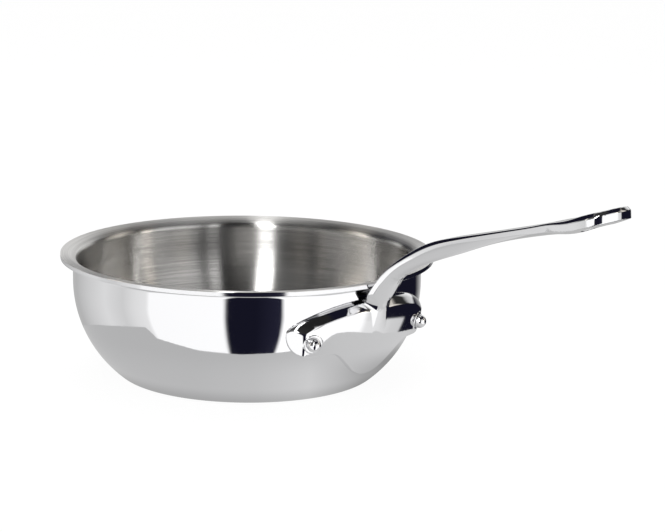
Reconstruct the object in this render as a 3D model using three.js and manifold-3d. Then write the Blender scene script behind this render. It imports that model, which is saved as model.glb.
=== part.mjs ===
// Saute pan: a bowl pressed from five-ply sheet, and a cast handle held on by two rivets.
// Millimetres, +Z up. The origin is the centre of the underside, and the handle runs along +X.
import * as THREE from 'three';
import { mergeVertices } from 'three/addons/utils/BufferGeometryUtils.js';
import { TessellateModifier } from 'three/addons/modifiers/TessellateModifier.js';
import Module from 'manifold-3d';

const wasm = await Module();
wasm.setup();

const DEG = Math.PI / 180;

// Bowl, measured on its outer surface from the flat base up to the flared lip
const BASE_RADIUS = 80.3;
const CORNER_RADIUS = 11.9;
const CORNER_ANGLE = 38.6 * DEG;
const SIDE_RADIUS = 80.8;
const STRAIGHT_HEIGHT = 11.5;
const FLARE_RADIUS = 3.5;
const FLARE_ANGLE = 86 * DEG;
const RIM_RADIUS = 126.6;

// Plies from the outside in: steel, aluminium, alloy, aluminium, steel
const PLIES = [
  { name: 'outer_ply', thickness: 0.4, color: 0xc9ccd0, roughness: 0.08 },
  { name: 'outer_bond_ply', thickness: 0.5, color: 0xb9bcc0, roughness: 0.4 },
  { name: 'core_ply', thickness: 1.2, color: 0xa9adb2, roughness: 0.45 },
  { name: 'inner_bond_ply', thickness: 0.5, color: 0xb9bcc0, roughness: 0.4 },
  { name: 'inner_ply', thickness: 0.4, color: 0xb5b2ac, roughness: 0.3 },
];
const WALL_THICKNESS = PLIES.reduce((sum, ply) => sum + ply.thickness, 0);
const BOWL_SEGMENTS = 40;
const CORNER_STEPS = 2;
const SIDE_STEPS = 4;
const FLARE_STEPS = 3;

// Clearance left between pieces that seat on each other, and between bonded plies
const GAP = 0.3;
const BOND_LINE = 0.01;

// Rivets, on an axis square to the wall
const RIVET_ANGLE = 23.7 * DEG;
const RIVET_HEIGHT = 49;
const SHANK_RADIUS = 3;
const COLLAR_RADIUS = 4.75;
const COLLAR_HEIGHT = 1.3;
const DOME_RADIUS = 4.5;
const DOME_HEIGHT = 4.4;
const INNER_HEAD_RADIUS = 5.8;
const INNER_HEAD_HEIGHT = 2.2;
const RIVET_SEGMENTS = 16;
const HEAD_STEPS = 5;

// Flange of the handle, unrolled around the wall: u runs round it, v is the height
const UNROLL_RADIUS = 120;
const FLANGE_THICKNESS = 6.2;
const FLANGE_EDGE = 0.5;
const FLANGE_BEVEL = 4.4;
const WING_FACE = 54.5;
const WING_SLOPE = Math.tan(23 * DEG);
const FLANGE_STEP = 12;
const OUTLINE_STEPS = 5;
const LOBE_BOTTOM = 20.5;
const LOBE_RADIUS = 24;
const LOBE_ANGLE = 38 * DEG;
const NECK = new THREE.Vector2(36, 38.8);
const NECK_PULL = [26.5, 34.6, 30, 38.8];
const TIP_CENTRE = new THREE.Vector2(51.5, 53);
const TIP_RADIUS = 15.2;
const TIP_START = -102 * DEG;
const TIP_END = 8 * DEG;
const TIP_PULL = [65, 59];
const SHOULDER = new THREE.Vector2(58.4, 61.8);
const SHOULDER_PULL = [37, 71.4];
const FLANGE_TOP = 72.4;
const STEM_HALF = 13;

// Stations of the arm along its pan side, which becomes its top: place, half widths there and at
// the crease of the side, thickness, share of it above the crease, and chamfer of the top edge
const ARM = [
  { x: 116.6, z: 50.0, top: 12.6, crease: 11.0, thick: 4.6, share: 0.55, edge: 0.6 },
  { x: 119.2, z: 60.0, top: 13.2, crease: 11.2, thick: 5.2, share: 0.55, edge: 0.6 },
  { x: 120.2, z: 68.0, top: 13.4, crease: 11.3, thick: 6.0, share: 0.55, edge: 0.6 },
  { x: 123.8, z: 76.2, top: 13.4, crease: 11.3, thick: 5.8, share: 0.55, edge: 0.6 },
  { x: 128.8, z: 83.4, top: 13.2, crease: 11.2, thick: 5.6, share: 0.55, edge: 0.6 },
  { x: 136.2, z: 92.8, top: 12.6, crease: 10.8, thick: 6.9, share: 0.52, edge: 0.8 },
  { x: 146.2, z: 101.4, top: 11.8, crease: 10.2, thick: 8.3, share: 0.46, edge: 1.5 },
  { x: 158.4, z: 109.8, top: 10.8, crease: 9.2, thick: 10.1, share: 0.42, edge: 2.0 },
  { x: 172.5, z: 117.2, top: 10.2, crease: 8.6, thick: 11.3, share: 0.42, edge: 2.0 },
  { x: 190.0, z: 123.4, top: 9.8, crease: 8.2, thick: 10.8, share: 0.44, edge: 1.8 },
  { x: 209.5, z: 128.5, top: 9.6, crease: 8.2, thick: 8.3, share: 0.50, edge: 1.5 },
  { x: 240.0, z: 136.6, top: 10.4, crease: 9.4, thick: 6.7, share: 0.62, edge: 1.1 },
  { x: 256.6, z: 141.2, top: 12.0, crease: 11.2, thick: 7.0, share: 0.66, edge: 1.0 },
  { x: 272.7, z: 146.0, top: 14.0, crease: 13.5, thick: 8.3, share: 0.68, edge: 1.1 },
  { x: 281.5, z: 148.2, top: 15.6, crease: 15.3, thick: 8.8, share: 0.74, edge: 1.4 },
  { x: 289.8, z: 150.9, top: 17.2, crease: 17.3, thick: 8.4, share: 0.84, edge: 1.4 },
  { x: 297.6, z: 154.0, top: 18.4, crease: 18.8, thick: 8.6, share: 0.86, edge: 1.5 },
  { x: 303.2, z: 156.0, top: 18.9, crease: 19.3, thick: 8.8, share: 0.86, edge: 1.5 },
];
const RINGS_PER_STATION = 2;
const END_REACH = 14.3;
const END_LEAN = 0.31;
const END_ANGLES = [22, 42, 60, 76, 86].map((angle) => angle * DEG);

// Hanging slot through the tail, its far round end where the tail starts to round off
const SLOT_LENGTH = 24;
const SLOT_WIDTH = 11;

const cornerCentre = new THREE.Vector2(BASE_RADIUS, CORNER_RADIUS);
const sideCentre = new THREE.Vector2(
  BASE_RADIUS - (SIDE_RADIUS - CORNER_RADIUS) * Math.sin(CORNER_ANGLE),
  CORNER_RADIUS + (SIDE_RADIUS - CORNER_RADIUS) * Math.cos(CORNER_ANGLE),
);
const wallRadius = sideCentre.x + SIDE_RADIUS;
const flareCentre = new THREE.Vector2(wallRadius + FLARE_RADIUS, sideCentre.y + STRAIGHT_HEIGHT);

// Even steps from one value to another, both ends included
function steps(from, to, count) {
  return Array.from({ length: count + 1 }, (_, i) => from + ((to - from) * i) / count);
}

// Profile of the sheet at a depth below the outer surface, from the axis out to the lip
function bowlProfile(depth) {
  const points = [new THREE.Vector2(0, depth)];
  for (const a of steps(0, CORNER_ANGLE, CORNER_STEPS)) {
    const r = CORNER_RADIUS - depth;
    points.push(new THREE.Vector2(r * Math.sin(a), -r * Math.cos(a)).add(cornerCentre));
  }
  for (const a of steps(CORNER_ANGLE, Math.PI / 2, SIDE_STEPS).slice(1)) {
    const r = SIDE_RADIUS - depth;
    points.push(new THREE.Vector2(r * Math.sin(a), -r * Math.cos(a)).add(sideCentre));
  }
  for (const a of steps(0, FLARE_ANGLE, FLARE_STEPS)) {
    const r = FLARE_RADIUS + depth;
    points.push(new THREE.Vector2(-r * Math.cos(a), r * Math.sin(a)).add(flareCentre));
  }
  const lip = points.at(-1);
  const reach = RIM_RADIUS - lip.x;
  points.push(new THREE.Vector2(RIM_RADIUS, lip.y + reach / Math.tan(FLARE_ANGLE)));
  return points;
}

// Radius of the outer wall at a height below the flare, and its outward normal in the same plane
function wallAt(height) {
  const a = Math.acos(Math.max(0, sideCentre.y - height) / SIDE_RADIUS);
  const radius = sideCentre.x + SIDE_RADIUS * Math.sin(a);
  return { radius, normal: new THREE.Vector2(Math.sin(a), -Math.cos(a)) };
}

// A closed geometry as a solid that can be joined and cut
function toSolid(geometry) {
  const bare = geometry.clone();
  bare.deleteAttribute('normal');
  bare.deleteAttribute('uv');
  const merged = mergeVertices(bare, 1e-4);
  const index = merged.getIndex().array;
  const triangles = [];
  for (let i = 0; i < index.length; i += 3) {
    const [a, b, c] = index.slice(i, i + 3);
    if (a !== b && b !== c && c !== a) triangles.push(a, b, c);
  }
  const vertProperties = new Float32Array(merged.getAttribute('position').array);
  const triVerts = new Uint32Array(triangles);
  return new wasm.Manifold(new wasm.Mesh({ numProp: 3, vertProperties, triVerts }));
}

function toMesh(name, solid, color, roughness) {
  const { vertProperties, triVerts } = solid.getMesh();
  const geometry = new THREE.BufferGeometry();
  geometry.setAttribute('position', new THREE.BufferAttribute(new Float32Array(vertProperties), 3));
  geometry.setIndex(new THREE.BufferAttribute(new Uint32Array(triVerts), 1));
  const material = new THREE.MeshStandardMaterial({ color, roughness, metalness: 1, flatShading: true });
  const mesh = new THREE.Mesh(geometry, material);
  mesh.name = name;
  return mesh;
}

// A profile of radius and height turned about +Z
function turned(profile, segments) {
  return new THREE.LatheGeometry(profile, segments).rotateX(Math.PI / 2);
}

// Where a rivet's axis leaves the wall, with +Z turned to point outwards along the axis
function rivetPlace(side) {
  const { radius, normal } = wallAt(RIVET_HEIGHT);
  const tilt = new THREE.Matrix4().makeRotationY(Math.atan2(normal.x, normal.y));
  tilt.setPosition(radius, 0, RIVET_HEIGHT);
  return new THREE.Matrix4().makeRotationZ(side * RIVET_ANGLE).multiply(tilt);
}

function rivetHole(side) {
  const radius = SHANK_RADIUS + GAP;
  const length = 4 * (WALL_THICKNESS + FLANGE_THICKNESS);
  const hole = new THREE.CylinderGeometry(radius, radius, length, RIVET_SEGMENTS);
  return toSolid(hole.rotateX(Math.PI / 2).applyMatrix4(rivetPlace(side)));
}

// The space between two depths of the sheet, turned about the axis
function sheet(fromDepth, toDepth) {
  const profile = [...bowlProfile(fromDepth), ...bowlProfile(toDepth).reverse()];
  return toSolid(turned(profile, BOWL_SEGMENTS));
}

// Low head inside the bowl, its underside shaped to the curve of the wall
function innerHead(side) {
  const profile = [];
  for (const a of steps(0, Math.PI / 2, HEAD_STEPS - 1)) {
    const drop = WALL_THICKNESS + GAP + INNER_HEAD_HEIGHT * Math.cos(a);
    profile.push(new THREE.Vector2(INNER_HEAD_RADIUS * Math.sin(a), -drop));
  }
  profile.push(new THREE.Vector2(INNER_HEAD_RADIUS, -WALL_THICKNESS / 2));
  profile.push(new THREE.Vector2(0, -WALL_THICKNESS / 2));
  const blank = toSolid(turned(profile, RIVET_SEGMENTS).applyMatrix4(rivetPlace(side)));
  return blank.subtract(sheet(0, WALL_THICKNESS + GAP));
}

// One rivet: inner head, shank through wall and flange, and a domed head on a collar outside
function rivet(name, side) {
  const outside = FLANGE_THICKNESS + 2 * GAP;
  const collarTop = outside + COLLAR_HEIGHT;
  const profile = [
    new THREE.Vector2(0, -WALL_THICKNESS - INNER_HEAD_HEIGHT / 2),
    new THREE.Vector2(SHANK_RADIUS, -WALL_THICKNESS - INNER_HEAD_HEIGHT / 2),
    new THREE.Vector2(SHANK_RADIUS, outside),
    new THREE.Vector2(COLLAR_RADIUS, outside),
    new THREE.Vector2(COLLAR_RADIUS, collarTop),
  ];
  for (const a of steps(0, Math.PI / 2, HEAD_STEPS)) {
    const radius = a < Math.PI / 2 ? DOME_RADIUS * Math.cos(a) : 0;
    profile.push(new THREE.Vector2(radius, collarTop + DOME_HEIGHT * Math.sin(a)));
  }
  const body = toSolid(turned(profile, RIVET_SEGMENTS).applyMatrix4(rivetPlace(side)));
  return toMesh(name, body.add(innerHead(side)), 0xd2d4d7, 0.1);
}

// The plies, one inside the other, each pierced for the two rivets
function bowlPlies() {
  const holes = rivetHole(1).add(rivetHole(-1));
  let depth = 0;
  return PLIES.map(({ name, thickness, color, roughness }) => {
    const ply = sheet(depth === 0 ? 0 : depth + BOND_LINE, depth + thickness);
    depth += thickness;
    return toMesh(name, ply.subtract(holes), color, roughness);
  });
}

// Right half of the flange's outline, from the bottom of the lobe round the wing to the stem
function flangeHalf() {
  const half = new THREE.Path();
  const lobeCentre = LOBE_BOTTOM + LOBE_RADIUS;
  half.absarc(0, lobeCentre, LOBE_RADIUS, -Math.PI / 2, -Math.PI / 2 + LOBE_ANGLE);
  half.bezierCurveTo(...NECK_PULL, NECK.x, NECK.y);
  half.absarc(TIP_CENTRE.x, TIP_CENTRE.y, TIP_RADIUS, TIP_START, TIP_END);
  half.quadraticCurveTo(...TIP_PULL, SHOULDER.x, SHOULDER.y);
  half.quadraticCurveTo(...SHOULDER_PULL, STEM_HALF, FLANGE_TOP);
  return half.getPoints(OUTLINE_STEPS);
}

// The flange: a bevelled plate bent round the wall, its back flush to it and its wings falling off
function flange() {
  const right = flangeHalf();
  const left = right.slice(1).reverse().map((p) => new THREE.Vector2(-p.x, p.y));
  const plate = new THREE.ExtrudeGeometry(new THREE.Shape([...right, ...left]), {
    depth: FLANGE_EDGE,
    bevelThickness: FLANGE_THICKNESS - FLANGE_EDGE,
    bevelSize: FLANGE_BEVEL,
    bevelOffset: -FLANGE_BEVEL,
    bevelSegments: 2,
  });
  const fine = new TessellateModifier(FLANGE_STEP, 8).modify(plate);
  const position = fine.getAttribute('position');
  for (let i = 0; i < position.count; i += 1) {
    const angle = position.getX(i) / UNROLL_RADIUS;
    const height = position.getY(i);
    const fall = Math.max(0, Math.abs(position.getX(i)) - WING_FACE) * WING_SLOPE;
    const lift = GAP + Math.max(0, Math.min(position.getZ(i), FLANGE_THICKNESS - fall));
    const { radius, normal } = wallAt(height);
    const r = radius + lift * normal.x;
    position.setXYZ(i, r * Math.cos(angle), r * Math.sin(angle), height + lift * normal.y);
  }
  return toSolid(fine);
}

// One section of the arm: flat top with chamfered edges, sides down to a crease, round underside
function armSection({ top, crease, thick, share, edge }) {
  const drop = share * thick;
  const half = [
    [top - edge, 0],
    [top, edge],
    [crease, drop],
    [crease / 2, thick - (thick - drop) / 4],
  ];
  return [...half, [0, thick], ...half.map(([y, d]) => [-y, d]).reverse()];
}

// Ring of points of a section that stands square to the arm's path, or leans back along it
function armRing(place, along, section, lean = 0) {
  const down = new THREE.Vector3(along.z, 0, -along.x).addScaledVector(along, -lean);
  return section.map(([y, d]) => new THREE.Vector3(0, y, 0).addScaledVector(down, d).add(place));
}

// Closed surface through a row of rings, with a fan at each end
function loft(rings) {
  const size = rings[0].length;
  const points = rings.flat();
  const index = [];
  for (let k = 0; k + 1 < rings.length; k += 1) {
    for (let i = 0; i < size; i += 1) {
      const a = k * size + i;
      const b = k * size + ((i + 1) % size);
      index.push(a, a + size, b, b, a + size, b + size);
    }
  }
  const last = (rings.length - 1) * size;
  for (let i = 1; i + 1 < size; i += 1) {
    index.push(0, i, i + 1);
    index.push(last, last + i + 1, last + i);
  }
  const geometry = new THREE.BufferGeometry().setFromPoints(points);
  geometry.setIndex(index);
  return geometry;
}

// The arm: stem, knee, slim middle and broad tail with a rounded end
function arm() {
  const curve = (of) => new THREE.CatmullRomCurve3(ARM.map((s) => new THREE.Vector3(...of(s))));
  const path = curve(({ x, z }) => [x, 0, z]);
  const widths = curve(({ top, crease, thick }) => [top, crease, thick]);
  const edges = curve(({ share, edge }) => [share, edge, 0]);
  const rings = steps(0, 1, (ARM.length - 1) * RINGS_PER_STATION).map((t) => {
    const { x: top, y: crease, z: thick } = widths.getPoint(t);
    const { x: share, y: edge } = edges.getPoint(t);
    return armRing(path.getPoint(t), path.getTangent(t), armSection({ top, crease, thick, share, edge }));
  });
  const tail = ARM.at(-1);
  const along = path.getTangent(1);
  for (const a of END_ANGLES) {
    const place = path.getPoint(1).addScaledVector(along, END_REACH * Math.sin(a));
    const narrow = Math.cos(a);
    const { top, crease, edge } = tail;
    const section = { ...tail, top: top * narrow, crease: crease * narrow, edge: edge * narrow };
    rings.push(armRing(place, along, armSection(section), END_LEAN * Math.sin(a)));
  }
  return toSolid(loft(rings));
}

// Cutter of the hanging slot, square to the tail
function slot() {
  const tail = ARM.at(-1);
  const near = ARM.at(-2);
  const r = SLOT_WIDTH / 2;
  const outline = new THREE.Shape();
  outline.absarc(0, 0, r, -Math.PI / 2, Math.PI / 2);
  outline.absarc(SLOT_WIDTH - SLOT_LENGTH, 0, r, Math.PI / 2, 1.5 * Math.PI);
  const depth = 4 * tail.thick;
  const cutter = new THREE.ExtrudeGeometry(outline, { depth, bevelEnabled: false, curveSegments: 8 });
  cutter.translate(0, 0, -depth / 2);
  cutter.rotateY(-Math.atan2(tail.z - near.z, tail.x - near.x));
  cutter.translate(tail.x, 0, tail.z);
  return toSolid(cutter);
}

// The handle is one casting, pierced for the rivets
function handle() {
  const holes = rivetHole(1).add(rivetHole(-1));
  const casting = arm().add(flange()).subtract(slot()).subtract(holes);
  return toMesh('handle', casting, 0xd0d2d5, 0.12);
}

const pan = new THREE.Group();
pan.add(...bowlPlies(), handle(), rivet('rivet_left', -1), rivet('rivet_right', 1));

export default pan;
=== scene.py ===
# Looks of the saute pan: fine meshes and finishes in the place of its solids, with a studio.
# The frame is in metres and +Z up. Sizes below are in millimetres unless a name says otherwise.
import math

import bpy
import numpy as np
from mathutils import Matrix, Vector


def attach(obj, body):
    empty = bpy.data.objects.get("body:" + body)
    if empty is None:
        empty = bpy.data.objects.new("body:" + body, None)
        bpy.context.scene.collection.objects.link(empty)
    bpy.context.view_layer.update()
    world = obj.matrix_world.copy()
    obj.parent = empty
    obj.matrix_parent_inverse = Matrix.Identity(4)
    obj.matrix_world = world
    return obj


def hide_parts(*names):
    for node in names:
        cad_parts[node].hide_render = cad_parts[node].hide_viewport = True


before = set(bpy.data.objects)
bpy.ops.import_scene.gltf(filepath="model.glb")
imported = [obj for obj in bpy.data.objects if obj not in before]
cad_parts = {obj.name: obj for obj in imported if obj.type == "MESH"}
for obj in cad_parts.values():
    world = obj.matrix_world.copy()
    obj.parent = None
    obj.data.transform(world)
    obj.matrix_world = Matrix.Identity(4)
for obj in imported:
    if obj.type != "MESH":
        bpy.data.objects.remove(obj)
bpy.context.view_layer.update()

MM = 0.001

# Bowl, measured on its outer surface from the flat base up to the flared lip
BASE_RADIUS = 80.3
CORNER_RADIUS = 11.9
CORNER_ANGLE = math.radians(38.6)
SIDE_RADIUS = 80.8
STRAIGHT_HEIGHT = 11.5
FLARE_RADIUS = 3.5
FLARE_ANGLE = math.radians(86)
RIM_RADIUS = 126.55
LIP_EASE = 0.25

# Plies from the outside in: node, thickness, material slot, and how far it is set back at the lip
PLIES = [
    ("outer_ply", 0.4, "polished_steel", 0.0),
    ("outer_bond_ply", 0.5, "aluminium", 0.04),
    ("core_ply", 1.2, "aluminium", 0.02),
    ("inner_bond_ply", 0.5, "aluminium", 0.04),
    ("inner_ply", 0.4, "brushed_steel", 0.0),
]
BOND_LINE = 0.01
WALL_THICKNESS = sum(ply[1] for ply in PLIES)
BOWL_SEGMENTS = 288

# Rings of the bowl's mesh, as shares of the way over the flat base and over the lip
BASE_RINGS = (0.3, 0.6, 0.9)
LIP_RINGS = (0.5, 1.0)

# Rivets, on an axis square to the wall
RIVET_ANGLE = math.radians(23.7)
RIVET_HEIGHT = 49.0
SHANK_RADIUS = 3.0
COLLAR_RADIUS = 4.75
COLLAR_HEIGHT = 1.3
DOME_RADIUS = 4.5
DOME_HEIGHT = 4.4
INNER_HEAD_RADIUS = 5.8
INNER_HEAD_HEIGHT = 2.2
INNER_HEAD_SINK = 0.3
COLLAR_FOOT_EASE = 0.25
COLLAR_EASE = 0.4
RIVET_SEGMENTS = 72
DOME_RINGS = 14

# Flange of the handle, unrolled around the wall: u runs round it, v is the height
UNROLL_RADIUS = 120.0
FLANGE_GAP = 0.1
FLANGE_THICKNESS = 6.2
FLANGE_EDGE = 0.5
FOLD_EASE = 0.5
EDGE_EASE = 0.4
LOBE_BOTTOM = 20.5
LOBE_RADIUS = 24.0
LOBE_ANGLE = math.radians(38)
NECK = (36.0, 38.8)
NECK_PULL = ((26.5, 34.6), (30.0, 38.8))
TIP_CENTRE = (51.5, 53.0)
TIP_RADIUS = 15.2
TIP_START = math.radians(-102)
TIP_END = math.radians(8)
TIP_PULL = (65.0, 59.0)
SHOULDER = (58.4, 61.8)
SHOULDER_PULL = (37.0, 71.4)
FLANGE_TOP = 72.4
STEM_HALF = 13.0

# Two bevels along the flange's edge, at the low edge and at the top: inset and lift of the fold
# between them, inset of the face, and how far the outline faces up where the low edge's sizes
# end and the top's begin
FOLD_INSETS = (0.9, 1.6)
FOLD_LIFTS = (3.6, 2.6)
FACE_INSETS = (2.6, 7.0)
EDGE_TURN = (-0.3, 0.4)

# Facet across each wing's tip: where it leaves the face, and its slope
WING_FACE = 55.5
WING_SLOPE = math.tan(math.radians(25))

# Raised pads under the rivets
SEAT_RADIUS = 6.3
SEAT_HEIGHT = 6.5
SEAT_EASE = 0.5

# Stations of the arm along its pan side, which becomes its top: place, half widths there and
# at the crease of the side, thickness, share of it above the crease, and bevel of the top edge
ARM = [
    (116.6, 50.0, 12.6, 11.0, 4.6, 0.55, 1.0),
    (119.2, 60.0, 13.2, 11.2, 5.4, 0.55, 1.0),
    (120.2, 68.0, 13.4, 11.3, 6.6, 0.55, 1.0),
    (123.8, 76.2, 13.4, 11.3, 6.2, 0.55, 1.0),
    (128.8, 83.4, 13.2, 11.2, 5.6, 0.55, 1.0),
    (136.2, 93.4, 12.6, 10.8, 7.4, 0.52, 2.4),
    (146.2, 102.4, 11.8, 10.2, 9.1, 0.46, 4.2),
    (158.4, 110.7, 10.8, 9.2, 10.8, 0.44, 5.0),
    (172.5, 117.8, 10.2, 8.6, 11.8, 0.43, 4.6),
    (190.0, 123.4, 9.8, 8.2, 10.8, 0.44, 3.8),
    (209.5, 128.5, 9.6, 8.2, 8.3, 0.50, 2.8),
    (240.0, 136.6, 10.4, 9.4, 6.7, 0.62, 1.9),
    (256.6, 141.2, 12.0, 11.2, 7.0, 0.66, 1.7),
    (272.7, 146.0, 14.0, 13.5, 8.3, 0.68, 2.0),
    (281.5, 148.2, 15.6, 15.3, 8.8, 0.74, 2.5),
    (289.8, 150.9, 17.2, 17.3, 8.4, 0.84, 3.2),
    (297.6, 154.0, 18.4, 18.8, 8.6, 0.86, 3.6),
    (303.2, 156.0, 18.9, 19.3, 8.8, 0.86, 3.6),
]
ARM_SAMPLES = 900
CREASE_EASE = 0.4
BEVEL_EASE = 0.5

# Cut of the crease at the arm's foot, which fades out along it, and the tail's leaning round end
FOOT = (20.0, 36.0)
FOOT_CUTS = (2.7, -1.0)
FOOT_TURN = math.radians(42)
END_REACH = 14.0
END_LEAN = 0.31
STEM_BLEND = 1.8

# Hanging slot through the tail
SLOT_LENGTH = 24.0
SLOT_WIDTH = 11.0
SLOT_EASE = 1.8

# Grid of the cast surface, in a box round the handle that is wide only at the flange
GRID_STEP = 0.6
GRID_MARGIN = 3.0
GRID_LOW = (97.0, -66.0, 17.0)
GRID_HIGH = (324.0, 66.0, 163.0)
WIDE_END = 130.0
WIDE_HALF = 70.0
ARM_HALF = 22.0
FAR = 20.0
TINY = 1e-6
CHUNK = 20000

# Place along X and height past which only the arm is left
FLANGE_REACH = 140.0
FLANGE_CEILING = 90.0

# Smoothing of the cast surface: passes, share of each move along it, and caps on moves across it
SLOPE_STEP = 0.05
LEAST_SLOPE = 0.3
RELAX_PASSES = 4
RELAX_SHARE = 0.5
RELAX_CAP = 0.5
SETTLE_PASSES = 2
SETTLE_CAP = 0.3

# Finishes: colours, roughness, and noise in lines per metre across and per radian along a brushing
OUTER_STEEL = (0.76, 0.76, 0.77)
INNER_STEEL = (0.66, 0.65, 0.635)
CAST_STEEL = (0.77, 0.77, 0.78)
ALUMINIUM = (0.74, 0.74, 0.75)
OUTER_ROUGHNESS = 0.045
CAST_ROUGHNESS = 0.05
RIVET_ROUGHNESS = 0.06
NOISE_RANGE = (0.3, 0.7)
POLISH_CLOUD = 60.0
POLISH_SPREAD = (0.7, 1.5)
POLISH_RINGS = (1800.0, 5.0)
POLISH_HAIRLINES = 900.0
POLISH_BUMP = 0.02
POLISH_DEPTH_M = 0.0002
BRUSH_GRAIN = (6000.0, 1.4)
BRUSH_LINES = (2000.0, 1.2)
BRUSH_LEAN = 0.45
BRUSH_TONES = (0.8, 1.08)
SATIN = (0.24, 0.42)
LIP_SATIN = (80.0, 83.0)
LIP_TRIM = (RIM_RADIUS - 0.3, RIM_RADIUS - 0.1)
TRIM_POLISH = 0.15
SEAM_GRAIN = (3000.0, 4.0)
SEAM_ROUGHNESS = (0.06, 0.1)

# Floor and lamp, in metres and watts
FLOOR_SIZE_M = 8.0
FLOOR_DROP_M = -0.0002
FLOOR_WHITE = 0.9
FLOOR_GLOW = 1.05
FLOOR_GLOW_SHARE = 0.9
LAMP_SIZE_M = 1.6
LAMP_HEIGHT_M = 1.8
LAMP_WATTS = 14.0

# Table top that the metal reflects: reach of its edge by azimuth, in degrees to the right of the
# camera, its shade under the pan, and its radiance by azimuth near the pan and far from it
TABLE_DROP_M = -0.0001
TABLE_POINTS = 120
TABLE_EDGE = [
    (-180, 165), (-105, 166), (-78, 185), (-51, 212), (-42, 174), (-20, 153), (0, 148), (20, 152),
    (30, 160), (38, 195), (44, 220), (52, 220), (60, 205), (70, 190), (85, 180), (105, 175), (180, 165),
]
TABLE_SHADE = 0.72
TABLE_SHADE_ENDS = (82.0, 98.0)
TABLE_SPREAD = (105.0, 150.0)
TABLE_NEAR = [
    (-180, 0.5), (-140, 0.58), (-20, 0.62), (5, 0.66), (30, 0.78), (42, 0.66), (52, 0.56), (64, 0.44),
    (84, 0.34), (100, 0.3), (150, 0.3), (180, 0.5),
]
TABLE_FAR = [
    (-180, 0.5), (-140, 0.58), (-20, 0.58), (5, 0.6), (30, 0.66), (45, 0.7), (90, 0.74), (110, 0.66),
    (150, 0.4), (180, 0.5),
]

# Camera, found from the photograph: it stands at an azimuth from -Y towards +X
CAMERA_AZIMUTH = math.radians(44)
CAMERA_ELEVATION = math.radians(12.18)
CAMERA_ROLL = math.radians(0.876)
CAMERA_DISTANCE = 1700.3
CAMERA_TARGET = (57.85, 74.75)
FOCAL_PIXELS = 2500.0
IMAGE_WIDTH = 665
SENSOR_WIDTH = 36.0

corner_centre = np.array([BASE_RADIUS, CORNER_RADIUS])
side_centre = corner_centre + (SIDE_RADIUS - CORNER_RADIUS) * np.array(
    [-math.sin(CORNER_ANGLE), math.cos(CORNER_ANGLE)]
)
wall_radius = side_centre[0] + SIDE_RADIUS
flare_centre = np.array([wall_radius + FLARE_RADIUS, side_centre[1] + STRAIGHT_HEIGHT])
lip_direction = np.array([math.sin(FLARE_ANGLE), math.cos(FLARE_ANGLE)])


# Mesh helpers


def add_mesh(name, vertices, faces, normals=None, sharp=30):
    mesh = bpy.data.meshes.new(name)
    mesh.from_pydata((np.asarray(vertices) * MM).tolist(), [], faces)
    mesh.shade_smooth()
    if normals is None:
        mesh.set_sharp_from_angle(angle=math.radians(sharp))
    else:
        mesh.normals_split_custom_set_from_vertices(normals.tolist())
    mesh.update()
    piece = bpy.data.objects.new(name, mesh)
    bpy.context.scene.collection.objects.link(piece)
    return piece


def arc(centre, radius, start, end, count):
    """Points of an arc, its angles counted from the downward direction towards +r."""
    a = np.linspace(start, end, count)
    return np.stack([centre[0] + radius * np.sin(a), centre[1] - radius * np.cos(a)], axis=1)


def fillet(before, corner, after, radius, count=5):
    """Points that round the corner of a profile, from one leg to the other."""
    corner = np.asarray(corner, float)
    p = corner + radius * unit(np.asarray(before) - corner)
    q = corner + radius * unit(np.asarray(after) - corner)
    t = np.linspace(0, 1, count)[:, None]
    return (1 - t) ** 2 * p + 2 * t * (1 - t) * corner + t**2 * q


def unit(v):
    return v / np.linalg.norm(v)


def turned(profile, segments):
    """Vertices and faces of a profile of radius and height turned about +Z.
    The profile starts and ends on the axis."""
    ring = np.asarray(profile[1:-1])
    a = np.linspace(0, 2 * math.pi, segments, endpoint=False)
    x = ring[:, None, 0] * np.cos(a)
    y = ring[:, None, 0] * np.sin(a)
    z = np.repeat(ring[:, 1:2], segments, axis=1)
    vertices = np.stack([x, y, z], axis=2).reshape(-1, 3)
    first = len(vertices)
    poles = [(0, 0, profile[0][1]), (0, 0, profile[-1][1])]
    vertices = np.vstack([vertices, poles])
    faces = []
    last = (len(ring) - 1) * segments
    for i in range(segments):
        j = (i + 1) % segments
        faces.append((first, j, i))
        faces.append((first + 1, last + i, last + j))
        for row in range(0, last, segments):
            faces.append((row + i, row + j, row + segments + j, row + segments + i))
    return vertices, faces


# Bowl


def sheet_profile(depth, set_back=0.0):
    """The sheet at a depth below its outer surface, from the axis out to the lip."""
    flare = arc(flare_centre, FLARE_RADIUS + depth, -math.pi / 2, -math.pi / 2 - FLARE_ANGLE, count=16)
    reach = (RIM_RADIUS - set_back - flare[-1, 0]) / lip_direction[0]
    lip = flare[-1] + np.outer(LIP_RINGS, reach * lip_direction)
    return np.vstack(
        [
            [(0.0, depth)],
            [(BASE_RADIUS * k, depth) for k in BASE_RINGS],
            arc(corner_centre, CORNER_RADIUS - depth, 0, CORNER_ANGLE, count=10),
            arc(side_centre, SIDE_RADIUS - depth, CORNER_ANGLE, math.pi / 2, count=30)[1:],
            flare,
            lip,
        ]
    )


def make_plies():
    depth = 0.0
    pieces = {}
    for node, thickness, slot, set_back in PLIES:
        outer = sheet_profile(depth + (BOND_LINE if depth else 0.0), set_back)
        inner = sheet_profile(depth + thickness, set_back)[::-1]
        if node == "outer_ply":
            outer = np.vstack([outer[:-1], fillet(outer[-2], outer[-1], inner[0], LIP_EASE)])
        if node == "inner_ply":
            inner = np.vstack([fillet(outer[-1], inner[0], inner[1], LIP_EASE), inner[1:]])
        profile = np.vstack([outer, inner])
        pieces[node] = add_mesh(f"{node}_sheet", *turned(profile, BOWL_SEGMENTS))
        depth += thickness
        settle(pieces[node], node)
    return pieces


def settle(piece, node):
    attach(piece, "root")
    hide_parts(node)


# Wall as a surface that the handle and the rivets seat on


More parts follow.
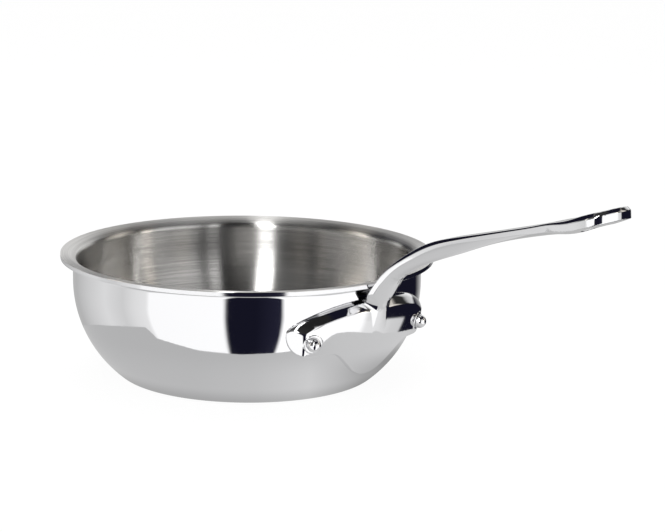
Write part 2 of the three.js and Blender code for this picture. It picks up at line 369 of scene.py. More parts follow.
def wall_at(height):
    """Radius of the outer wall at a height on its curved side, and the tilt of its normal."""
    a = math.acos((side_centre[1] - height) / SIDE_RADIUS)
    return side_centre[0] + SIDE_RADIUS * math.sin(a), a


def wall_coordinates(r, z):
    """Height of the nearest point of the outer wall, and the distance outside it."""
    side = np.hypot(r - side_centre[0], z - side_centre[1])
    side_v = side_centre[1] + SIDE_RADIUS * (z - side_centre[1]) / np.maximum(side, TINY)
    flare = np.hypot(r - flare_centre[0], z - flare_centre[1])
    flare_v = flare_centre[1] + FLARE_RADIUS * (z - flare_centre[1]) / np.maximum(flare, TINY)
    below = z < side_centre[1]
    above = z > flare_centre[1]
    beyond = above & (r > flare_centre[0] - FLARE_RADIUS * math.cos(FLARE_ANGLE))
    v = np.where(below, side_v, np.where(above, flare_v, z))
    out = np.where(below, side - SIDE_RADIUS, np.where(above, FLARE_RADIUS - flare, r - wall_radius))
    foot = flare_centre + FLARE_RADIUS * np.array([-math.cos(FLARE_ANGLE), math.sin(FLARE_ANGLE)])
    lip_gap = (r - foot[0]) * lip_direction[1] - (z - foot[1]) * lip_direction[0]
    return v, np.where(beyond, np.where(r > RIM_RADIUS, FAR, lip_gap), out)


# Rivets


def rivet_place(side):
    """Matrix that puts +Z on a rivet's axis, pointing out of the wall."""
    radius, a = wall_at(RIVET_HEIGHT)
    tilt = Matrix.Rotation(math.pi - a, 4, "Y")
    move = Matrix.Translation((radius, 0, RIVET_HEIGHT))
    return Matrix.Rotation(side * RIVET_ANGLE, 4, "Z") @ move @ tilt


def rivet_profile():
    seat = SEAT_HEIGHT + FLANGE_GAP
    collar_top = seat + COLLAR_HEIGHT
    inside = INNER_HEAD_SINK - WALL_THICKNESS
    a = np.linspace(0, math.pi / 2, DOME_RINGS)
    inner = np.stack(
        [INNER_HEAD_RADIUS * np.sin(a), -WALL_THICKNESS - INNER_HEAD_HEIGHT * np.cos(a)], axis=1
    )
    dome = np.stack([DOME_RADIUS * np.cos(a), collar_top + DOME_HEIGHT * np.sin(a)], axis=1)
    dome[-1, 0] = 0.0
    collar_foot = (COLLAR_RADIUS, seat)
    collar_edge = (COLLAR_RADIUS, collar_top)
    return np.vstack(
        [
            inner,
            [(INNER_HEAD_RADIUS, inside), (SHANK_RADIUS, inside), (SHANK_RADIUS, seat)],
            fillet((SHANK_RADIUS, seat), collar_foot, collar_edge, COLLAR_FOOT_EASE),
            fillet(collar_foot, collar_edge, (DOME_RADIUS, collar_top), COLLAR_EASE),
            dome,
        ]
    )


def make_rivets():
    pieces = []
    for name, side in (("rivet_left", -1), ("rivet_right", 1)):
        vertices, faces = turned(rivet_profile(), RIVET_SEGMENTS)
        place = np.array(rivet_place(side))
        vertices = vertices @ place[:3, :3].T + place[:3, 3]
        piece = add_mesh(f"{name}_body", vertices, faces, sharp=40)
        settle(piece, name)
        pieces.append(piece)
    return pieces


# Handle, a cast form given by its distance function


def smooth_max(a, b, ease):
    h = np.clip(0.5 + 0.5 * (a - b) / ease, 0, 1)
    return b + (a - b) * h + ease * h * (1 - h)


def smooth_min(a, b, ease):
    return -smooth_max(-a, -b, ease)


def smooth_step(low, high, x):
    t = np.clip((x - low) / (high - low), 0, 1)
    return t * t * (3 - 2 * t)


def natural_spline(knots, values, at):
    """Curve with even curvature through values given at knots."""
    n = len(knots)
    gap = np.diff(knots)
    matrix = np.eye(n)
    right = np.zeros((n, values.shape[1]))
    for i in range(1, n - 1):
        matrix[i, i - 1 : i + 2] = gap[i - 1], 2 * (gap[i - 1] + gap[i]), gap[i]
        right[i] = 6 * ((values[i + 1] - values[i]) / gap[i] - (values[i] - values[i - 1]) / gap[i - 1])
    bend = np.linalg.solve(matrix, right)
    i = np.clip(np.searchsorted(knots, at) - 1, 0, n - 2)
    h = gap[i][:, None]
    p = (knots[i + 1] - at)[:, None] / h
    q = 1 - p
    line = p * values[i] + q * values[i + 1]
    return line + ((p**3 - p) * bend[i] + (q**3 - q) * bend[i + 1]) * h**2 / 6


def arm_path():
    """Dense samples along the arm: distance, place, direction, and the section's sizes."""
    stations = np.array(ARM)
    knots = np.concatenate([[0], np.cumsum(np.hypot(*np.diff(stations[:, :2], axis=0).T))])
    samples = natural_spline(knots, stations, np.linspace(0, knots[-1], ARM_SAMPLES))
    place = samples[:, :2]
    step = np.gradient(place, axis=0)
    along = step / np.linalg.norm(step, axis=1)[:, None]
    distance = np.concatenate([[0], np.cumsum(np.linalg.norm(np.diff(place, axis=0), axis=1))])
    return distance, place, along, samples[:, 2:]


path_distance, path_place, path_along, path_sizes = arm_path()
path_length = path_distance[-1]


def arm_coordinates(x, z):
    """Distance along the arm, depth below its top line, and the section's sizes there."""
    points = np.stack([x, z], axis=1)
    nearest = np.empty(len(points), int)
    for start in range(0, len(points), CHUNK):
        chunk = points[start : start + CHUNK]
        out = chunk[:, None, 0] - path_place[:, 0]
        up = chunk[:, None, 1] - path_place[:, 1]
        nearest[start : start + CHUNK] = (out**2 + up**2).argmin(axis=1)
    offset = points - path_place[nearest]
    along = path_along[nearest]
    distance = path_distance[nearest] + (offset * along).sum(axis=1)
    depth = offset[:, 0] * along[:, 1] - offset[:, 1] * along[:, 0]
    inside = np.clip(distance, 0, path_length)
    sizes = [np.interp(inside, path_distance, path_sizes[:, k]) for k in range(path_sizes.shape[1])]
    return distance, depth, sizes


def arm_form(y, coordinates):
    """Distance to the arm: flat bevelled top, sides drawn in to a crease that is cut off at the
    foot, and a rounded underside."""
    distance, depth, (top, crease, thick, share, bevel) = coordinates
    beyond = np.maximum(0, distance - path_length + END_LEAN * np.clip(depth, 0, thick))
    past = beyond * crease / END_REACH - np.minimum(0, distance)
    across = np.hypot(y, past)
    drop = share * thick
    side = ((across - top) * drop + depth * (top - crease)) / np.hypot(drop, top - crease)
    swell = (thick - drop) / crease**2
    under = (depth - thick + swell * across**2) / np.sqrt(1 + (2 * swell * across) ** 2)
    foot = FOOT_CUTS[0] + (FOOT_CUTS[1] - FOOT_CUTS[0]) * smooth_step(*FOOT, distance)
    cheek = (depth - drop) * math.cos(FOOT_TURN) + (across - crease) * math.sin(FOOT_TURN) + foot
    body = smooth_max(smooth_max(side, under, CREASE_EASE), cheek, CREASE_EASE)
    edge = (across - top - depth) / math.sqrt(2) + bevel / 2
    return smooth_max(smooth_max(body, -depth, BEVEL_EASE), edge, BEVEL_EASE)


def slot_form(y, coordinates):
    """Distance to the hanging slot, a round-ended hole through the tail."""
    distance = coordinates[0] - path_length
    along = distance - np.clip(distance, SLOT_WIDTH - SLOT_LENGTH, 0)
    return np.hypot(y, along) - SLOT_WIDTH / 2


def bezier(points, count):
    """Points of the curve that a row of control points pulls on."""
    t = np.linspace(0, 1, count)[:, None]
    points = [np.asarray(p, float) for p in points]
    while len(points) > 1:
        points = [(1 - t) * a + t * b for a, b in zip(points, points[1:])]
    return points[0]


def flange_outline():
    """Closed outline of the flange, unrolled: lobe, neck, wing and shoulder, and their mirror."""
    lobe = arc((0, LOBE_BOTTOM + LOBE_RADIUS), LOBE_RADIUS, 0, LOBE_ANGLE, count=16)
    tip = arc(TIP_CENTRE, TIP_RADIUS, TIP_START + math.pi / 2, TIP_END + math.pi / 2, count=40)
    half = np.vstack(
        [
            lobe,
            bezier([lobe[-1], *NECK_PULL, NECK], count=20)[1:],
            tip,
            bezier([tip[-1], TIP_PULL, SHOULDER], count=14)[1:],
            bezier([SHOULDER, SHOULDER_PULL, (STEM_HALF, FLANGE_TOP)], count=24)[1:],
        ]
    )
    return np.vstack([half, half[:0:-1] * (-1, 1)])


outline = flange_outline()


def outline_distance(u, v):
    """Signed distance to the flange's outline, and how far it faces upwards there."""
    a = outline
    edge = np.roll(a, -1, axis=0) - a
    length = (edge**2).sum(axis=1)
    best = np.full(len(u), np.inf)
    climb = np.zeros(len(u))
    inside = np.zeros(len(u), bool)
    for (ax, ay), (ex, ey), square in zip(a, edge, length):
        t = np.clip(((u - ax) * ex + (v - ay) * ey) / square, 0, 1)
        d = (u - ax - t * ex) ** 2 + (v - ay - t * ey) ** 2
        closer = d < best
        best = np.where(closer, d, best)
        climb = np.where(closer, ay + t * ey - v, climb)
        crosses = (ay > v) != (ay + ey > v)
        inside ^= crosses & (u < ax + ex * (v - ay) / (ey if ey else TINY))
    distance = np.where(inside, -1, 1) * np.sqrt(best)
    return distance, -climb / np.where(distance == 0, 1, distance)


class OutlineField:
    """The outline's distance on a fine grid, read between its points."""

    # Keeps a reading inside the grid's last cell
    last_cell = 1.001

    def __init__(self, step=0.4, margin=8.0):
        self.step = step
        self.low = outline.min(axis=0) - margin
        size = ((outline.max(axis=0) + margin - self.low) / step).astype(int) + 2
        grid = np.meshgrid(*[self.low[k] + step * np.arange(size[k]) for k in range(2)], indexing="ij")
        distance, rise = outline_distance(grid[0].ravel(), grid[1].ravel())
        self.layers = [distance.reshape(size), rise.reshape(size)]
        self.size = size

    def read(self, u, v):
        s = np.clip((u - self.low[0]) / self.step, 0, self.size[0] - self.last_cell)
        t = np.clip((v - self.low[1]) / self.step, 0, self.size[1] - self.last_cell)
        i = s.astype(int)
        j = t.astype(int)
        s = s - i
        t = t - j
        readings = []
        for f in self.layers:
            near = (1 - t) * f[i, j] + t * f[i, j + 1]
            far = (1 - t) * f[i + 1, j] + t * f[i + 1, j + 1]
            readings.append((1 - s) * near + s * far)
        return readings


field = OutlineField()


def flange_form(points):
    """Distance to the flange, a plate bent round the wall with two bevels along its edge and a
    facet across each tip, and the height above the wall."""
    x, y, z = points.T
    v, lift = wall_coordinates(np.hypot(x, y), z)
    u = np.arctan2(y, x) * UNROLL_RADIUS
    edge, rise = field.read(u, v)
    fold = by_edge(FOLD_INSETS, rise)
    face = by_edge(FACE_INSETS, rise)
    fold_lift = by_edge(FOLD_LIFTS, rise)
    steep = facet(edge, lift, (0, FLANGE_EDGE), (fold, fold_lift))
    shallow = facet(edge, lift, (fold, fold_lift), (face, FLANGE_THICKNESS))
    plate = smooth_max(lift - FLANGE_THICKNESS, shallow, FOLD_EASE)
    plate = smooth_max(plate, steep, FOLD_EASE)
    wing = lift - FLANGE_THICKNESS + (np.abs(u) - WING_FACE) * WING_SLOPE
    plate = smooth_max(plate, wing / math.hypot(1, WING_SLOPE), FOLD_EASE)
    return smooth_max(plate, edge, EDGE_EASE), lift


def by_edge(sizes, rise):
    """A size that changes from the low edge of the flange to its top edge."""
    low, top = sizes
    return low + (top - low) * smooth_step(*EDGE_TURN, rise)


def facet(edge, lift, start, end):
    """Distance to the plane through two places, each an inset from the outline and a lift."""
    run = end[0] - start[0]
    climb = end[1] - start[1]
    return ((edge + start[0]) * climb + (lift - start[1]) * run) / np.hypot(run, climb)


def seat_form(points):
    """Distance to the round pads under the rivets."""
    pads = []
    for side in (-1, 1):
        place = np.array(rivet_place(side).inverted())
        local = points @ place[:3, :3].T + place[:3, 3]
        ring = np.hypot(local[:, 0], local[:, 1]) - SEAT_RADIUS
        above = np.abs(local[:, 2] - SEAT_HEIGHT / 2) - SEAT_HEIGHT / 2
        pads.append(smooth_max(ring, above, SEAT_EASE))
    return np.minimum(*pads)


def handle_form(points, coordinates=None):
    """Distance to the whole casting."""
    points = np.asarray(points, float)
    if coordinates is None:
        coordinates = arm_coordinates(points[:, 0], points[:, 2])
    y = points[:, 1]
    form = arm_form(y, coordinates)
    near = (points[:, 0] < FLANGE_REACH) & (points[:, 2] < FLANGE_CEILING)
    if near.any():
        close = points[near]
        plate, lift = flange_form(close)
        joined = smooth_min(form[near], plate, STEM_BLEND)
        joined = smooth_min(joined, seat_form(close), SEAT_EASE)
        form[near] = np.maximum(joined, FLANGE_GAP - lift)
    tail = coordinates[0] > path_length - 2 * SLOT_LENGTH
    if tail.any():
        part = tuple(c[tail] for c in coordinates[:2])
        form[tail] = smooth_max(form[tail], -slot_form(y[tail], part), SLOT_EASE)
    return form


def handle_grid():
    """Samples of the handle's distance function on a box grid: lowest corner and values."""
    low = np.array(GRID_LOW) - GRID_MARGIN
    high = np.array(GRID_HIGH) + GRID_MARGIN
    size = ((high - low) / GRID_STEP).astype(int) + 1
    axes = [low[k] + GRID_STEP * np.arange(size[k]) for k in range(3)]
    values = np.full(size, FAR, np.float32)
    for i, x in enumerate(axes[0]):
        z = axes[2]
        coordinates = arm_coordinates(np.full(len(z), x), z)
        use = np.abs(axes[1]) < (WIDE_HALF if x < WIDE_END else ARM_HALF)
        y = axes[1][use]
        points = np.stack(
            [np.full(len(y) * len(z), x), np.repeat(y, len(z)), np.tile(z, len(y))], axis=1
        )
        spread = (
            np.tile(coordinates[0], len(y)),
            np.tile(coordinates[1], len(y)),
            [np.tile(s, len(y)) for s in coordinates[2]],
        )
        values[i, use] = handle_form(points, spread).reshape(len(y), len(z))
    return low, values


def cell_corners(grid, corner):
    """Values of a grid at one corner of each of its cells."""
    return grid[tuple(slice(c, c + size - 1) for c, size in zip(corner, grid.shape))]


def surface_net(low, values):
    """Quad mesh of the zero surface: one vertex in each cell that the surface crosses."""
    inside = values < 0
    cells = tuple(s - 1 for s in values.shape)
    total = np.zeros(cells + (3,), np.float32)
    count = np.zeros(cells, np.float32)
    corners = [(i, j, k) for i in (0, 1) for j in (0, 1) for k in (0, 1)]
    for start in corners:
        for axis in range(3):
            if start[axis]:
                continue
            end = tuple(1 if k == axis else start[k] for k in range(3))
            f = cell_corners(values, start)
            g = cell_corners(values, end)
            crossed = cell_corners(inside, start) != cell_corners(inside, end)
            share = np.where(crossed, f / np.where(crossed, f - g, 1), 0)
            for k in range(3):
                total[..., k] += np.where(crossed, start[k] + (share if k == axis else 0), 0)
            count += crossed
    used = count > 0
    index = np.full(cells, -1, int)
    index[used] = np.arange(used.sum())
    base = np.argwhere(used)
    vertices = low + GRID_STEP * (base + total[used] / count[used][:, None])
    faces = []
    for axis in range(3):
        b = (axis + 1) % 3
        c = (axis + 2) % 3
        first = np.argwhere(np.diff(inside.astype(np.int8), axis=axis) != 0)
        entering = inside[tuple(first.T)]
        around = []
        for db, dc in ((1, 1), (0, 1), (0, 0), (1, 0)):
            cell = first.copy()
            cell[:, b] -= db
            cell[:, c] -= dc
            around.append(index[tuple(cell.T)])
        quads = np.stack(around, axis=1)
        quads[~entering] = quads[~entering][:, ::-1]
        faces.append(quads)
    return vertices, np.vstack(faces)


def form_slope(points):
    """Unit gradient of the handle's distance function, and the gradient's size."""
    slope = np.empty_like(points)
    for k in range(3):
        shift = np.zeros(3)
        shift[k] = SLOPE_STEP
        slope[:, k] = (handle_form(points + shift) - handle_form(points - shift)) / (2 * SLOPE_STEP)
    size = np.linalg.norm(slope, axis=1)[:, None]
    return slope / np.maximum(size, TINY), size


def surface_pull(vertices, cap):
    """Normals of the surface near vertices, and the capped moves that bring them onto it."""
    normal, size = form_slope(vertices)
    pull = np.clip(handle_form(vertices)[:, None] / np.maximum(size, LEAST_SLOPE), -cap, cap)
    return normal, -pull * normal


def relax(vertices, quads):
    """Even out the mesh, sliding along the surface, and bring it back onto the surface."""
    edges = np.vstack([quads[:, [k, (k + 1) % 4]] for k in range(4)])
    degree = np.bincount(edges.ravel(), minlength=len(vertices))[:, None]
    for _ in range(RELAX_PASSES):
        total = np.zeros_like(vertices)
        np.add.at(total, edges[:, 0], vertices[edges[:, 1]])
        np.add.at(total, edges[:, 1], vertices[edges[:, 0]])
        normal, pull = surface_pull(vertices, RELAX_CAP)
        move = total / degree - vertices
        move -= (move * normal).sum(axis=1)[:, None] * normal
        vertices = vertices + RELAX_SHARE * move + pull
    for _ in range(SETTLE_PASSES):
        vertices = vertices + surface_pull(vertices, SETTLE_CAP)[1]
    return vertices


def make_handle():
    vertices, quads = surface_net(*handle_grid())
    vertices = relax(vertices, quads)
    normals = form_slope(vertices)[0]
    piece = add_mesh("handle_casting", vertices, quads.tolist(), normals=normals)
    settle(piece, "handle")
    return piece


# Materials


class Nodes:
    """Short ways to add and link nodes in one tree."""

    def __init__(self, tree):
        self.tree = tree
        tree.nodes.clear()

    def add(self, kind, inputs=None, **settings):
        node = self.tree.nodes.new(kind)
        for name, value in settings.items():
            setattr(node, name, value)
        for name, value in (inputs or {}).items():
            self.put(node.inputs[name], value)
        return node

    def put(self, socket, value):
        if isinstance(value, bpy.types.NodeSocket):
            self.tree.links.new(value, socket)
        else:
            socket.default_value = value

    def math(self, operation, *values):
        node = self.add("ShaderNodeMath", operation=operation)
        for socket, value in zip(node.inputs, values):
            self.put(socket, value)
        return node.outputs[0]

    def vector(self, operation, *values):
        node = self.add("ShaderNodeVectorMath", operation=operation)
        for socket, value in zip(node.inputs, values):
            self.put(socket, value)
        return node.outputs["Vector"]

    def between(self, value, low, high, to_low=0.0, to_high=1.0, smooth=True):
        """Map a value from one range to another, held at both ends."""
        kind = "SMOOTHSTEP" if smooth else "LINEAR"
        node = self.add("ShaderNodeMapRange", interpolation_type=kind, clamp=True)
        for name, item in (
            ("Value", value),
            ("From Min", low),
            ("From Max", high),
            ("To Min", to_low),
            ("To Max", to_high),
        ):
            self.put(node.inputs[name], item)
        return node.outputs[0]

    def noise(self, vector, scale, detail):
        node = self.add("ShaderNodeTexNoise", {"Vector": vector, "Scale": scale, "Detail": detail})
        return node.outputs["Fac"]

    def mix_colors(self, share, first, second):
        """Colour between two colours."""
        node = self.add("ShaderNodeMixRGB", blend_type="MIX")
        for socket, value in zip(node.inputs, (share, first, second)):
            self.put(socket, value)
        return node.outputs[0]

    def mix_shaders(self, share, first, second):
        """Shader between two shaders."""
        node = self.add("ShaderNodeMixShader", {"Fac": share})
        self.put(node.inputs[1], first.outputs[0])
        self.put(node.inputs[2], second.outputs[0])
        return node

    def end(self, kind, shader):
        """Link a shader to a new output node."""
        output = self.add(kind)
        self.put(output.inputs["Surface"], shader.outputs[0])


def new_material(name):
    material = bpy.data.materials.new(name)
    material.use_nodes = True
    return material, Nodes(material.node_tree)


def finish_material(nodes, **inputs):
    named = {name.replace("_", " "): value for name, value in inputs.items()}
    nodes.end("ShaderNodeOutputMaterial", nodes.add("ShaderNodeBsdfPrincipled", named))


def round_coordinates(nodes):
    """Radius, height and angle about the bowl's axis, in metres and radians."""
    place = nodes.add("ShaderNodeTexCoord").outputs["Object"]
    split = nodes.add("ShaderNodeSeparateXYZ", {"Vector": place}).outputs
    squares = [nodes.math("POWER", split[k], 2.0) for k in range(2)]
    radius = nodes.math("SQRT", nodes.math("ADD", *squares))
    angle = nodes.math("ARCTAN2", split[1], split[0])
    return radius, split[2], angle


def brushed_lines(nodes, fine, turn):
    """Noise drawn out along circles about the bowl's axis."""
    vector = nodes.add("ShaderNodeCombineXYZ")
    for socket, value, scale in zip(vector.inputs, round_coordinates(nodes), (fine, fine, turn)):
        nodes.put(socket, nodes.math("MULTIPLY", value, scale))
    return nodes.noise(vector.outputs[0], 1.0, detail=3.0)


def polished_steel(name, color, roughness, rings):
    """Mirror finish with the faint rings or hairlines that polishing leaves."""
    material, nodes = new_material(name)
    place = nodes.add("ShaderNodeTexCoord").outputs["Object"]
    cloud = nodes.noise(place, POLISH_CLOUD, detail=4.0)
    rough = nodes.between(cloud, *NOISE_RANGE, *[roughness * share for share in POLISH_SPREAD])
    if rings:
        grain = brushed_lines(nodes, *POLISH_RINGS)
    else:
        grain = nodes.noise(place, POLISH_HAIRLINES, detail=2.0)
    relief = {"Height": grain, "Strength": POLISH_BUMP, "Distance": POLISH_DEPTH_M}
    bump = nodes.add("ShaderNodeBump", relief)
    finish_material(
        nodes, Base_Color=(*color, 1), Metallic=1.0, Roughness=rough, Normal=bump.outputs[0]
    )
    return material


def brushed_steel(name, color):
    """Cooking surface, brushed in circles so that lights draw out into upright streaks."""
    material, nodes = new_material(name)
    grain = brushed_lines(nodes, *BRUSH_GRAIN)
    lines = brushed_lines(nodes, *BRUSH_LINES)
    radius, height, _ = round_coordinates(nodes)
    trim = nodes.between(radius, LIP_TRIM[0] * MM, LIP_TRIM[1] * MM, 1.0, TRIM_POLISH)
    satin = nodes.between(height, LIP_SATIN[0] * MM, LIP_SATIN[1] * MM, *SATIN)
    lean = nodes.math("MULTIPLY", nodes.math("SUBTRACT", grain, 0.5), BRUSH_LEAN)
    normal = nodes.add("ShaderNodeNewGeometry").outputs["Normal"]
    around = nodes.add("ShaderNodeTangent", direction_type="RADIAL", axis="Z").outputs[0]
    across = nodes.vector("CROSS_PRODUCT", normal, around)
    tilt = nodes.add(
        "ShaderNodeVectorMath", {0: across, "Scale": nodes.math("MULTIPLY", lean, trim)}, operation="SCALE"
    )
    leaning = nodes.vector("NORMALIZE", nodes.vector("ADD", normal, tilt.outputs[0]))
    tones = [(*[c * share for c in color], 1) for share in BRUSH_TONES]
    finish_material(
        nodes,
        Base_Color=nodes.mix_colors(nodes.between(lines, *NOISE_RANGE), *tones),
        Metallic=1.0,
        Roughness=nodes.math("MULTIPLY", satin, trim),
        Normal=leaning,
        Anisotropic=1.0,
        Anisotropic_Rotation=0.25,
        Tangent=around,
    )
    return material


def seam_metal(name, color):
    """Aluminium core where the trimmed lip shows it."""
    material, nodes = new_material(name)
    grain = brushed_lines(nodes, *SEAM_GRAIN)
    rough = nodes.between(grain, *NOISE_RANGE, *SEAM_ROUGHNESS)
    finish_material(nodes, Base_Color=(*color, 1), Metallic=1.0, Roughness=rough)
    return material


def dress(pieces, material):
    for piece in pieces:
        piece.data.materials.clear()
        piece.data.materials.append(material)


# Studio


def studio_axes():
    """Directions to the camera's right, back to the camera, and level towards it."""
    a = CAMERA_AZIMUTH
    e = CAMERA_ELEVATION
    right = Vector((math.cos(a), math.sin(a), 0))
    back = Vector((math.sin(a) * math.cos(e), -math.cos(a) * math.cos(e), math.sin(e)))
    front = Vector((back.x, back.y, 0)).normalized()
    return right, back, front


def make_camera():
    right, back, _ = studio_axes()
    up = back.cross(right)
    c = math.cos(CAMERA_ROLL)
    s = math.sin(CAMERA_ROLL)
    turned_right = c * right + s * up
    turned_up = c * up - s * right
    target = right * CAMERA_TARGET[0] + Vector((0, 0, CAMERA_TARGET[1]))
    place = (target + back * CAMERA_DISTANCE) * MM
    data = bpy.data.cameras.new("camera")
    data.sensor_width = SENSOR_WIDTH
    data.lens = FOCAL_PIXELS * SENSOR_WIDTH / IMAGE_WIDTH
    camera = bpy.data.objects.new("camera", data)
    axes = Matrix((turned_right, turned_up, back)).transposed().to_4x4()
    camera.matrix_world = Matrix.Translation(place) @ axes
    bpy.context.scene.collection.objects.link(camera)
    bpy.context.scene.camera = camera


# The studio as the metal sees it, in layers by elevation. Each layer lists radiances at azimuths
# in degrees to the right of the camera.
DARK = (0.009, 0.009, 0.02)
NAVY = (0.02, 0.02, 0.04)
BEIGE = (1.06, 1.0, 0.91)


def tint(level):
    return tuple(level * c for c in BEIGE)


# Below the horizon: the side towards the camera, which two layers share, and the far side of each
BELOW_FRONT = [
    (-180, 0.5), (-151, 0.53), (-128, 0.73), (-105, 0.9), (-87, 0.78), (-77, 0.92), (-67, 1.0),
    (-64.8, 1.27), (-13.4, 1.3), (-11, DARK), (8, DARK), (24.2, NAVY), (26.2, 1.4),
]
TABLE_LAYER = BELOW_FRONT + [
    (80, 1.3), (84, 0.98), (97, 0.94), (110, 0.78), (121, 0.74), (124, DARK), (163, DARK), (167, 0.55),
    (180, 0.5),
]
HORIZON_LAYER = BELOW_FRONT + [
    (80, 1.3), (84, 0.9), (92, 0.9), (95, DARK), (150, DARK), (167, 0.5), (180, 0.5),
]

# Room above the horizon: the parts that a low and a high layer share, and the sides of each
ROOM_FRONT = [
    (-93, 0.3), (-90, tint(2.3)), (-80, tint(0.8)), (-66, 0.14), (-17.2, 0.2), (-15.7, 8.0), (-7, 8.0),
    (-5.5, 0.04), (21.5, 0.02), (23, 1.3), (29, 1.2), (31, 0.5), (35, 0.5),
]
ROOM_BACK = [
    (94, tint(0.1)), (101, tint(0.95)), (114, tint(0.65)), (120, 0.03), (132, 0.03), (138, 0.6),
    (152, 0.95), (180, 1.05),
]
LOW_LEFT = [(-180, 1.05), (-163, 1.05), (-158, DARK), (-131, DARK), (-127, 1.1), (-108, 0.2)]
LOW_RIGHT = [(38, 1.35), (70, 1.2), (74.5, tint(2.7)), (80.5, tint(2.6)), (82, tint(0.1))]
HIGH_LEFT = [(-180, 1.05), (-163, 1.0), (-158, DARK), (-97, DARK)]
HIGH_RIGHT = [(38, 0.85), (67, 0.8), (74, 0.4), (77, tint(0.1))]
LOW_ROOM_LAYER = LOW_LEFT + ROOM_FRONT + LOW_RIGHT + ROOM_BACK
ROOM_LAYER = HIGH_LEFT + ROOM_FRONT + HIGH_RIGHT + ROOM_BACK
GAP_LAYER = [
    (-180, 1.0), (-158, 1.0), (-152, DARK), (-95, DARK), (-85, 0.05), (-17.2, 0.1), (-15.7, 7.0),
    (-7, 7.0), (-5.5, 0.02), (40, 0.02), (48, DARK), (152, DARK), (158, 1.0), (180, 1.0),
]
ZENITH_LAYER = [(-180, 0.95), (-115, 0.95), (-85, 0.04), (85, 0.04), (115, 0.95), (180, 0.95)]

# Layers over the table's, from the lowest up: stops, elevation of the lower edge, its softness
UPPER_LAYERS = [
    (HORIZON_LAYER, -20, 1.5),
    (LOW_ROOM_LAYER, 4, 4),
    (ROOM_LAYER, 18, 3),
    (GAP_LAYER, 36, 4),
    (ZENITH_LAYER, 66, 8),
]


def azimuth_ramp(nodes, azimuth, stops):
    """Colours between stops at azimuths in degrees."""
    share = nodes.between(azimuth, -180.0, 180.0, smooth=False)
    node = nodes.add("ShaderNodeValToRGB", {"Fac": share})
    elements = node.color_ramp.elements
    while len(elements) < len(stops):
        elements.new(0.5)
    for element, (degrees, level) in zip(elements, stops):
        element.position = (degrees + 180) / 360
        color = level if isinstance(level, tuple) else (level,) * 3
        element.color = (*color, 1)
    return node.outputs["Color"]


def azimuth_of(nodes, direction):
    """Degrees to the right of the camera's side of the studio."""
    right, _, front = studio_axes()
    parts = []
    for axis in (right, front):
        dot = nodes.add("ShaderNodeVectorMath", operation="DOT_PRODUCT")
        nodes.put(dot.inputs[0], direction)
        dot.inputs[1].default_value = axis
        parts.append(dot.outputs["Value"])
    return nodes.math("DEGREES", nodes.math("ARCTAN2", *parts))


def make_world():
    world = bpy.data.worlds.new("studio")
    world.use_nodes = True
    bpy.context.scene.world = world
    nodes = Nodes(world.node_tree)
    direction = nodes.add("ShaderNodeTexCoord").outputs["Generated"]
    azimuth = azimuth_of(nodes, direction)
    height = nodes.add("ShaderNodeSeparateXYZ", {"Vector": direction}).outputs[2]
    elevation = nodes.math("DEGREES", nodes.math("ARCSINE", height))
    color = azimuth_ramp(nodes, azimuth, TABLE_LAYER)
    for stops, low, soft in UPPER_LAYERS:
        share = nodes.between(elevation, low - soft / 2, low + soft / 2)
        color = nodes.mix_colors(share, color, azimuth_ramp(nodes, azimuth, stops))
    studio = nodes.add("ShaderNodeBackground", {"Color": color, "Strength": 1.0})
    white = nodes.add("ShaderNodeBackground", {"Color": (1, 1, 1, 1), "Strength": 1.0})
    camera_ray = nodes.add("ShaderNodeLightPath").outputs["Is Camera Ray"]
    nodes.end("ShaderNodeOutputWorld", nodes.mix_shaders(camera_ray, studio, white))


def table_outline():
    """Points round the table's edge, which lies closest on the camera's side."""
    right, _, front = studio_axes()
    degrees = np.linspace(-180, 180, TABLE_POINTS, endpoint=False)
    reach = np.interp(degrees, *np.transpose(TABLE_EDGE))
    turn = np.radians(degrees)
    sides = np.outer(reach * np.sin(turn), right) + np.outer(reach * np.cos(turn), front)
    return sides[::-1]


def make_floor():
    """White floor that keeps the pan's shadow."""
    bpy.ops.mesh.primitive_plane_add(size=FLOOR_SIZE_M, location=(0, 0, FLOOR_DROP_M))
    floor = bpy.context.object
    floor.name = "floor"
    floor.visible_glossy = False
    material, nodes = new_material("white_floor")
    matte = nodes.add("ShaderNodeBsdfDiffuse", {"Color": (FLOOR_WHITE, FLOOR_WHITE, FLOOR_WHITE, 1)})
    glow = nodes.add("ShaderNodeEmission", {"Color": (1, 1, 1, 1), "Strength": FLOOR_GLOW})
    camera_ray = nodes.add("ShaderNodeLightPath").outputs["Is Camera Ray"]
    share = nodes.math("MULTIPLY", camera_ray, FLOOR_GLOW_SHARE)
    nodes.end("ShaderNodeOutputMaterial", nodes.mix_shaders(share, matte, glow))
    dress([floor], material)


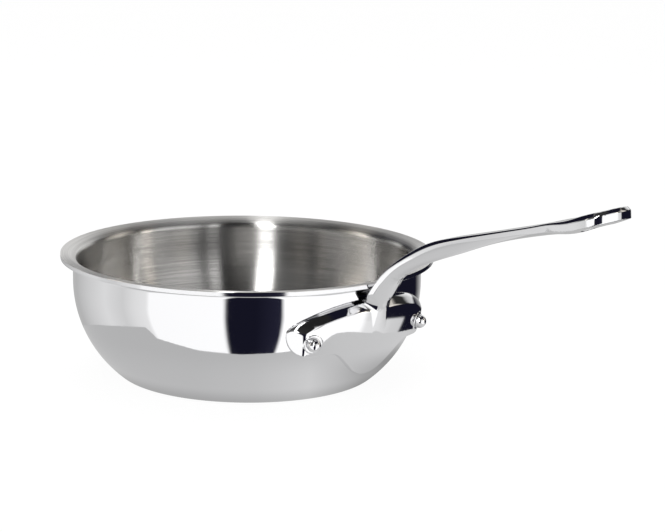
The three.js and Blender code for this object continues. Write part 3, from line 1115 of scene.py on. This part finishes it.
def make_table():
    """Grey table top that only the metal's reflections show."""
    table = add_mesh("table_top", table_outline(), [tuple(range(TABLE_POINTS))])
    table.location.z = TABLE_DROP_M
    for kind in ("camera", "diffuse", "shadow", "transmission"):
        setattr(table, f"visible_{kind}", False)
    material, nodes = new_material("grey_table")
    place = nodes.add("ShaderNodeNewGeometry").outputs["Position"]
    azimuth = azimuth_of(nodes, place)
    away = nodes.add("ShaderNodeVectorMath", {0: place}, operation="LENGTH").outputs["Value"]
    shade = nodes.between(away, TABLE_SHADE_ENDS[0] * MM, TABLE_SHADE_ENDS[1] * MM, TABLE_SHADE, 1.0)
    spread = nodes.between(away, TABLE_SPREAD[0] * MM, TABLE_SPREAD[1] * MM)
    near, far = (azimuth_ramp(nodes, azimuth, stops) for stops in (TABLE_NEAR, TABLE_FAR))
    tone = nodes.mix_colors(spread, near, far)
    glow = nodes.add("ShaderNodeEmission", {"Color": tone, "Strength": shade})
    nodes.end("ShaderNodeOutputMaterial", glow)
    dress([table], material)


def make_lamp():
    data = bpy.data.lights.new("overhead_lamp", "AREA")
    data.shape = "DISK"
    data.size = LAMP_SIZE_M
    data.energy = LAMP_WATTS
    lamp = bpy.data.objects.new("overhead_lamp", data)
    lamp.location = (0.0, 0.0, LAMP_HEIGHT_M)
    lamp.visible_glossy = False
    bpy.context.scene.collection.objects.link(lamp)


def main():
    bpy.context.scene.view_settings.view_transform = "Standard"
    make_camera()
    make_world()
    make_floor()
    make_table()
    make_lamp()

    plies = make_plies()
    rivets = make_rivets()
    handle = make_handle()
    outer_steel = polished_steel("outer_steel", OUTER_STEEL, OUTER_ROUGHNESS, rings=True)
    dress([plies["outer_ply"]], outer_steel)
    dress([plies["inner_ply"]], brushed_steel("inner_steel", INNER_STEEL))
    seams = [plies[name] for name in ("outer_bond_ply", "core_ply", "inner_bond_ply")]
    dress(seams, seam_metal("seam_aluminium", ALUMINIUM))
    dress([handle], polished_steel("cast_handle_steel", CAST_STEEL, CAST_ROUGHNESS, rings=False))
    dress(rivets, polished_steel("rivet_steel", CAST_STEEL, RIVET_ROUGHNESS, rings=False))


main()
